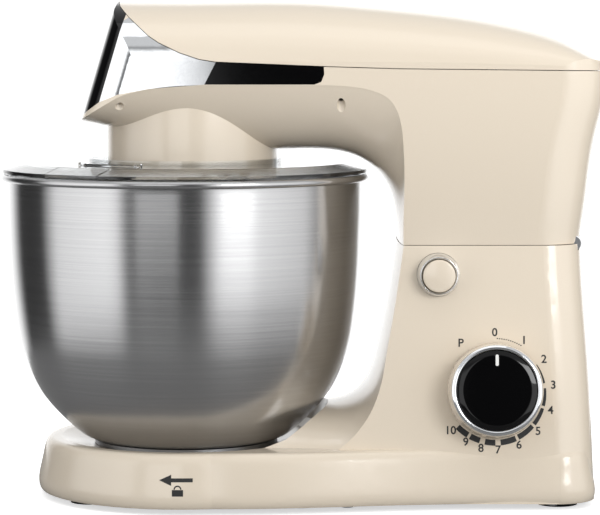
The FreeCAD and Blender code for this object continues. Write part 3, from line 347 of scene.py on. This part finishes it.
def lathe(name, outline, seat, body, finish, segments=128, closed=False):
    """Turns an (r, z) outline in millimetres about local Z: x = r cos a, y = r sin a; U runs round, V along.

    A closed outline joins its end to its start, and an open one begins and ends on the axis."""
    angles = np.linspace(0, 2 * math.pi, segments, endpoint=False)
    r, z = outline[:, 0] / 1000, outline[:, 1] / 1000
    local = np.stack([np.outer(r, np.cos(angles)), np.outer(r, np.sin(angles)),
                      np.outer(z, np.ones(segments))], axis=2).reshape(-1, 3)
    turn, place = seat
    points = local @ turn.T + place
    faces = grid_faces(len(r), segments, closed_rows=closed, closed_columns=True)
    made = plain_mesh(name, points, faces)
    around = np.tile(np.arange(segments) / segments, len(r))
    along = np.repeat(np.linspace(0, 1, len(r)), segments)
    layer = made.data.uv_layers.new(name="around")
    loops = np.zeros(len(made.data.loops), int)
    made.data.loops.foreach_get("vertex_index", loops)
    u, v = around[loops], along[loops]
    first = u.reshape(-1, 4)
    first[(first.max(1) - first.min(1) > 0.5)[:, None] & (first < 0.5)] += 1.0
    layer.data.foreach_set("uv", np.stack([first.ravel(), v], axis=1).ravel())
    tidy_mesh(made)
    made.data.materials.append(finish)
    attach(made, body)
    return made


def tidy_mesh(made, sharp=40):
    """Merges the points at a pole, turns the faces outwards and marks edges sharper than the angle."""
    work = bmesh.new()
    work.from_mesh(made.data)
    bmesh.ops.remove_doubles(work, verts=work.verts, dist=0.000002)
    bmesh.ops.recalc_face_normals(work, faces=work.faces)
    work.to_mesh(made.data)
    work.free()
    made.data.set_sharp_from_angle(angle=math.radians(sharp))


def upright_seat(across, depth=0.0, height=0.0):
    """A seat whose local Z is up; the place is in millimetres."""
    return np.eye(3), np.array((across, depth, height)) / 1000


WALL_DEPTH, WALL_LEVEL, WALL_SLOPE = 53.0, 166.5, 8


def wall_seat(across, height, lean):
    """A seat on the knob side of the column, whose local Z points out and up by lean degrees.

    The wall is 53 mm out at 166.5 mm up, and comes further out by a slope of 8 degrees below that."""
    tilt = math.radians(90 - lean)
    turn = np.array(((1, 0, 0), (0, math.cos(tilt), -math.sin(tilt)), (0, math.sin(tilt), math.cos(tilt))))
    depth = -(WALL_DEPTH + (WALL_LEVEL - height) * math.tan(math.radians(WALL_SLOPE)))
    return turn, np.array((across, depth, height)) / 1000


BOWL_AXIS, BOWL_WALL = -75.0, 1.2
bowl_seat = upright_seat(BOWL_AXIS)
bowl_knots = np.array([(0, 36), (40, 36), (56, 36.2), (64, 38), (72, 43), (84, 54.6), (92, 64),
                       (98.6, 75), (104, 88), (108.2, 103), (111.5, 126), (113.6, 150), (114.8, 178),
                       (115.3, 204.5)], float)


def smooth_run(knots, count):
    """A Catmull-Rom curve through knots, spaced evenly along its length."""
    padded = np.vstack([2 * knots[0] - knots[1], knots, 2 * knots[-1] - knots[-2]])
    t = np.linspace(0, 1, 24, endpoint=False)[:, None]
    runs = []
    for a, b, c, d in zip(padded, padded[1:], padded[2:], padded[3:]):
        runs.append(0.5 * (2 * b + (c - a) * t + (2 * a - 5 * b + 4 * c - d) * t ** 2
                           + (3 * b - a - 3 * c + d) * t ** 3))
    fine = np.vstack(runs + [knots[-1:]])
    length = np.concatenate([[0], np.cumsum(np.hypot(*np.diff(fine, axis=0).T))])
    even = np.linspace(0, length[-1], count)
    return np.stack([np.interp(even, length, fine[:, k]) for k in range(2)], axis=1)


outer_wall = smooth_run(bowl_knots, 90)
tangent = np.gradient(outer_wall, axis=0)
normal = np.stack([-tangent[:, 1], tangent[:, 0]], axis=1) / np.hypot(*tangent.T)[:, None]
inner_wall = outer_wall + BOWL_WALL * normal
inner_wall[0, 0] = 0.0
BEAD_ACROSS, BEAD_HEIGHT, BEAD_RADIUS = 117.5, 208.0, 2.45
roll = np.linspace(math.radians(205), math.radians(-140), 22)
bead = np.stack([BEAD_ACROSS + BEAD_RADIUS * np.cos(roll), BEAD_HEIGHT + BEAD_RADIUS * np.sin(roll)],
                axis=1)[::-1]
bowl_outline = np.vstack([outer_wall, bead, inner_wall[::-1]])
# Brushed stainless: rough across its level lines and smooth along them, so that light stands in upright
# bands.
steel, steel_tree, steel_shader = material("brushed_stainless_steel", "#B9B9BA", 0.27, 1.0, Anisotropic=0.85,
                                            Anisotropic_Rotation=0.25)
round_way = add(steel_tree, "Tangent", direction_type="UV_MAP", uv_map="around")
steel_tree.links.new(round_way.outputs["Tangent"], steel_shader.inputs["Tangent"])
steel_place = add(steel_tree, "TexCoord")
# Brush lines run level round the bowl, about 0.3 mm apart and drawn at 0.8 mm so that they show.
brush_stretch = add(steel_tree, "Mapping", {"Scale": (6.0, 6.0, 1250.0)},
                    {"Vector": steel_place.outputs["Object"]})
brush_lines = add(steel_tree, "TexNoise", {"Scale": 1.0, "Detail": 5.0, "Roughness": 0.7},
                  {"Vector": brush_stretch.outputs["Vector"]})
brush_bump = add(steel_tree, "Bump", {"Strength": 0.12, "Distance": 0.0001},
                 {"Height": brush_lines.outputs["Fac"]})
steel_tree.links.new(brush_bump.outputs["Normal"], steel_shader.inputs["Normal"])
brush_rough = add(steel_tree, "MapRange", {"To Min": 0.17, "To Max": 0.3},
                  {"Value": brush_lines.outputs["Fac"]})
steel_tree.links.new(brush_rough.outputs["Result"], steel_shader.inputs["Roughness"])
brush_tone = add(steel_tree, "Mix", None, {"Factor": brush_lines.outputs["Fac"]}, data_type="RGBA")
brush_tone.inputs[6].default_value = linear("#A9A9AB")
brush_tone.inputs[7].default_value = linear("#C9C9C9")
steel_tree.links.new(brush_tone.outputs[2], steel_shader.inputs["Base Color"])
bowl = lathe("mixing_bowl", bowl_outline, bowl_seat, "bowl", steel, segments=256)
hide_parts("bowl")
show_cad(machined, "bowl_foot")

# Hub skirt: a moulded cream collar under the head, round the planetary drive. Its rim stands higher at the
# two sides, where the belly of the head curves up and away from it.
HUB_AXIS = -70.3
collar_outline = rounded([(52.9, 214.3), (54.4, 213.5), (55.2, 214.6), (55.2, 252.3), (52.8, 252.3),
                          (52.8, 214.6)], 0.5)
collar = lathe("hub_skirt_collar", collar_outline, upright_seat(HUB_AXIS), "head", cream,
               segments=192, closed=True)
RIM_LIFT, RIM_SIDE, RIM_RISE = 0.0022, 0.0465, 0.002
collar_points = np.zeros(len(collar.data.vertices) * 3)
collar.data.vertices.foreach_get("co", collar_points)
collar_points = collar_points.reshape(-1, 3)
rim = collar_points[:, 2] > 0.2515
collar_points[rim, 2] += RIM_LIFT * np.clip((np.abs(collar_points[rim, 1]) - RIM_SIDE) / RIM_RISE, 0, 1)
collar.data.vertices.foreach_set("co", collar_points.ravel())
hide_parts("hub_skirt")

# Speed knob: a moulded skirt in the casing's cream, a plated ring let into its front edge and a domed disc of
# piano black inside the ring, with a white slot that points at the number.
KNOB_ACROSS, KNOB_HEIGHT = 123.6, 75.0
knob_place = wall_seat(KNOB_ACROSS, KNOB_HEIGHT, WALL_SLOPE)
skirt_outline = rounded([(0, 1.3), (30.4, 1.3), (29.1, 16.6), (0, 16.6)], 0.5)
ring_outline = rounded([(27, 16.7), (28.9, 16.7), (28.5, 19.4), (26.9, 20.3), (25.7, 19.9), (25.7, 17.6),
                        (27, 16.7)], 0.5)
face_outline = rounded([(0, 16.8), (25.5, 16.8), (25.5, 19.0), (22, 19.9), (0, 20.5)], 0.7)
skirt = lathe("speed_knob_skirt", skirt_outline, knob_place, "knob", cream)
ring = lathe("speed_knob_ring", ring_outline, knob_place, "knob", chrome)
face = lathe("speed_knob_face", face_outline, knob_place, "knob", black_gloss)
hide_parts("knob_skirt")
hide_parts("knob_ring")
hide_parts("knob_face")


def printed(name, loops, seat, lift, body, finish, faces=None):
    """A flat printed or inlaid shape: local (x, y) points in millimetres, lifted off its surface by lift."""
    points = np.array(loops, float)
    local = np.column_stack([points, np.full(len(points), lift)]) / 1000
    turn, place = seat
    made = plain_mesh(name, local @ turn.T + place,
                      faces if faces is not None else [list(range(len(points)))],
                      smooth=False)
    made.data.materials.append(finish)
    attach(made, body)
    return made


# Moulded white inlay: plain and half-gloss.
white_ink, white_tree, white_shader = material("white_inlay", "#F2F2F0", 0.35)
surface_noise(white_tree, white_shader, 1500.0, 0.05, "#F2F2F0", "#E9E9E6", (0.3, 0.4), 0.00005)
# The slot is two half circles of 1 mm radius, 2.6 mm up and down from a point 19 mm off the knob's axis.
slot_angles = np.linspace(0, 2 * math.pi, 32, endpoint=False)
slot_shape = np.stack([np.cos(slot_angles),
                       19.0 + 2.6 * np.sign(np.sin(slot_angles)) + np.sin(slot_angles)], axis=1)
printed("speed_knob_pointer", slot_shape, knob_place, 20.35, "knob", white_ink)

# Scale printed on the wall round the knob: P for a pulse, a dotted line up to 1, a black band that widens
# from 2 to 10 and the numbers outside it. Pad-printed ink: a flat black film.
ink, ink_tree, ink_shader = material("black_pad_print", "#1B1B1B", 0.45)
surface_noise(ink_tree, ink_shader, 2500.0, 0.05, "#1B1B1B", "#222222", (0.4, 0.5), 0.00005)
SCALE_ANGLES = {"P": -35.0, "0": 0.0, "1": 30.0, "2": 57.0, "3": 84.0, "4": 109.0, "5": 133.0, "6": 156.0,
                "7": 177.0, "8": 194.0, "9": 210.0, "10": 228.0}
SCALE_RADIUS, BAND_RADIUS, DOT_RADIUS = 37.2, 31.0, 33.2
INK_LIFT = 0.12


def clockwise(degrees, radius):
    """A point at an angle measured clockwise from straight up."""
    return radius * math.sin(math.radians(degrees)), radius * math.cos(math.radians(degrees))


def letters(name, text, height, centre, seat, lift, body, finish):
    """Flat text in the built-in face, as a mesh, its middle at centre in the seat's millimetres."""
    curve = bpy.data.curves.new(name, "FONT")
    curve.body = text
    curve.size = height / 0.72
    curve.align_x = "CENTER"
    curve.resolution_u = 6
    curve.offset = height * 0.022
    holder = bpy.data.objects.new(name + "_text", curve)
    bpy.context.scene.collection.objects.link(holder)
    mesh = bpy.data.meshes.new_from_object(holder.evaluated_get(bpy.context.evaluated_depsgraph_get()))
    bpy.data.objects.remove(holder)
    mesh.name = name
    flat = np.zeros(len(mesh.vertices) * 3)
    mesh.vertices.foreach_get("co", flat)
    flat = flat.reshape(-1, 3)[:, :2]
    flat = flat - (flat.max(0) + flat.min(0)) / 2 + np.array(centre)
    local = np.column_stack([flat, np.full(len(flat), lift)]) / 1000
    turn, place = seat
    mesh.vertices.foreach_set("co", (local @ turn.T + place).ravel())
    made = bpy.data.objects.new(name, mesh)
    bpy.context.scene.collection.objects.link(made)
    mesh.materials.clear()
    mesh.materials.append(finish)
    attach(made, body)
    return made


for mark, degrees in SCALE_ANGLES.items():
    letters(f"scale_mark_{mark}", mark, 5.2, clockwise(degrees, SCALE_RADIUS), knob_place, INK_LIFT, "base",
            ink)
BAND_STEPS, BAND_GAP = 60, 1.7
band_angles = np.linspace(58, 229, BAND_STEPS)
widths = 0.5 + 3.2 * np.clip((band_angles - 58) / 100, 0, 1)
band = ([clockwise(a, BAND_RADIUS) for a in band_angles]
        + [clockwise(a, BAND_RADIUS + w) for a, w in zip(band_angles[::-1], widths[::-1])])
# The band is left out where a number stands beside it.
band_faces = [(i, i + 1, 2 * BAND_STEPS - 2 - i, 2 * BAND_STEPS - 1 - i) for i in range(BAND_STEPS - 1)
              if min(abs(band_angles[i] + 1.4 - a) for a in SCALE_ANGLES.values()) > BAND_GAP]
printed("scale_band", band, knob_place, INK_LIFT, "base", ink, band_faces)
DOT_SIZE, DOT_SIDES = 0.42, 8
dot_points, dot_faces = [], []
for dot_angle in np.linspace(3, 30, 12):
    x, y = clockwise(dot_angle, DOT_RADIUS)
    dot_faces.append([len(dot_points) + k for k in range(DOT_SIDES)])
    dot_points += [(x + DOT_SIZE * math.cos(a), y + DOT_SIZE * math.sin(a))
                   for a in np.arange(DOT_SIDES) * 2 * math.pi / DOT_SIDES]
printed("scale_dots", dot_points, knob_place, INK_LIFT, "base", ink, dot_faces)

# Release button: a cream cap that slides in a plated cone pressed into the wall.
button_place = wall_seat(88.0, 148.0, 0)
bezel_outline = rounded([(10.75, 6), (10.75, 9.0), (11.9, 9.6), (13.6, 3.0), (13.75, -2.9), (12, -2.9),
                         (10.75, 6)], 0.9)
cap_outline = rounded([(8.8, -1), (10.35, -1), (10.35, 12.2), (0, 13.4)], 1.2)
bezel = lathe("release_button_bezel", bezel_outline, button_place, "base", chrome)
cap = lathe("release_button_cap", cap_outline, button_place, "button", cream)
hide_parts("button_bezel")
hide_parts("button_cap")

# Button spring: hard-drawn steel wire wound to a coil, drawn at one fixed length.
COIL_RADIUS, COIL_PITCH, COIL_LENGTH, COIL_START, WIRE_RADIUS = 5.0, 3.6, 15.2, -5.1, 0.6
COIL_STEPS, WIRE_SIDES = 170, 12
# Its centre line is (R cos a, R sin a, z), z rising by one pitch a turn, and each end is drawn in to a point.
coil_turn = np.linspace(0, 2 * math.pi * COIL_LENGTH / COIL_PITCH, COIL_STEPS)
coil_out = np.stack([np.cos(coil_turn), np.sin(coil_turn), 0 * coil_turn], axis=1)
coil_rise = COIL_PITCH * coil_turn / (2 * math.pi) + COIL_START
coil_line = COIL_RADIUS * coil_out + np.array([0, 0, 1]) * coil_rise[:, None]
wire_radius = np.full(COIL_STEPS, WIRE_RADIUS)
wire_radius[[0, -1]] = 0.0
wire_angle = np.linspace(0, 2 * math.pi, WIRE_SIDES, endpoint=False)[None, :, None]
coil_points = coil_line[:, None, :] + wire_radius[:, None, None] * (
    np.cos(wire_angle) * coil_out[:, None, :] + np.sin(wire_angle) * np.array([0, 0, 1.0]))
spring_turn, spring_place = button_place
spring = plain_mesh("release_button_spring", coil_points.reshape(-1, 3) / 1000 @ spring_turn.T + spring_place,
                    grid_faces(COIL_STEPS, WIRE_SIDES, closed_columns=True))
tidy_mesh(spring)
spring.data.materials.append(machined)
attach(spring, "base")
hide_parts("button_spring")
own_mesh(spring)

# Sign on the foot: an arrow for the way the bowl is turned, and a closed padlock under it, both pad-printed.
def foot_sign(name, left, right, low, high, columns=24):
    """A flat shape wrapped on the foot: at each X it runs from low to high, and its depth is the shell's own.

    The depth is found by a ray along +Y at each point, and the shape stands 0.15 mm in front of it."""
    across = np.linspace(left, right, columns)
    rows = [low(across) + share * (high(across) - low(across)) for share in (0.0, 0.5, 1.0)]
    points = np.array([(x, -0.3, z) for row in rows for x, z in zip(across / 1000, row / 1000)])
    wall = NODES["base_shell"]
    for point in points:
        point[1] = wall.ray_cast(point, (0, 1, 0))[1][1] - 0.00015
    made = plain_mesh(name, points, grid_faces(3, columns)[:, ::-1], smooth=False)
    made.data.materials.append(ink)
    tidy_outward(made)
    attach(made, "base")
    return made


def tidy_outward(made):
    """Turns a print on the knob side so that its faces point away from the machine."""
    if made.data.polygons[0].normal.y > 0:
        made.data.flip_normals()


ARROW_TIP, ARROW_NECK, ARROW_LEVEL = -88.0, -80.5, 22.5
ARROW_SPREAD = 3.4 / (ARROW_NECK - ARROW_TIP)
foot_sign("lock_arrow_head", ARROW_TIP, ARROW_NECK, lambda x: ARROW_LEVEL - ARROW_SPREAD * (x - ARROW_TIP),
          lambda x: ARROW_LEVEL + ARROW_SPREAD * (x - ARROW_TIP))
foot_sign("lock_arrow_shaft", ARROW_NECK, -67.0, lambda x: 21.3 + 0 * x, lambda x: 23.7 + 0 * x)
foot_sign("lock_body", -80.0, -73.0, lambda x: 12.6 + 0 * x, lambda x: 16.6 + 0 * x)


def bow(radius):
    """The height of an arc of a radius over the padlock's middle, and level where the arc has ended."""
    return lambda x: 16.8 + np.sqrt(np.clip(radius ** 2 - (x + 76.5) ** 2, 0, 9))


foot_sign("lock_bow_top", -79.0, -74.0, bow(1.7), bow(2.5))
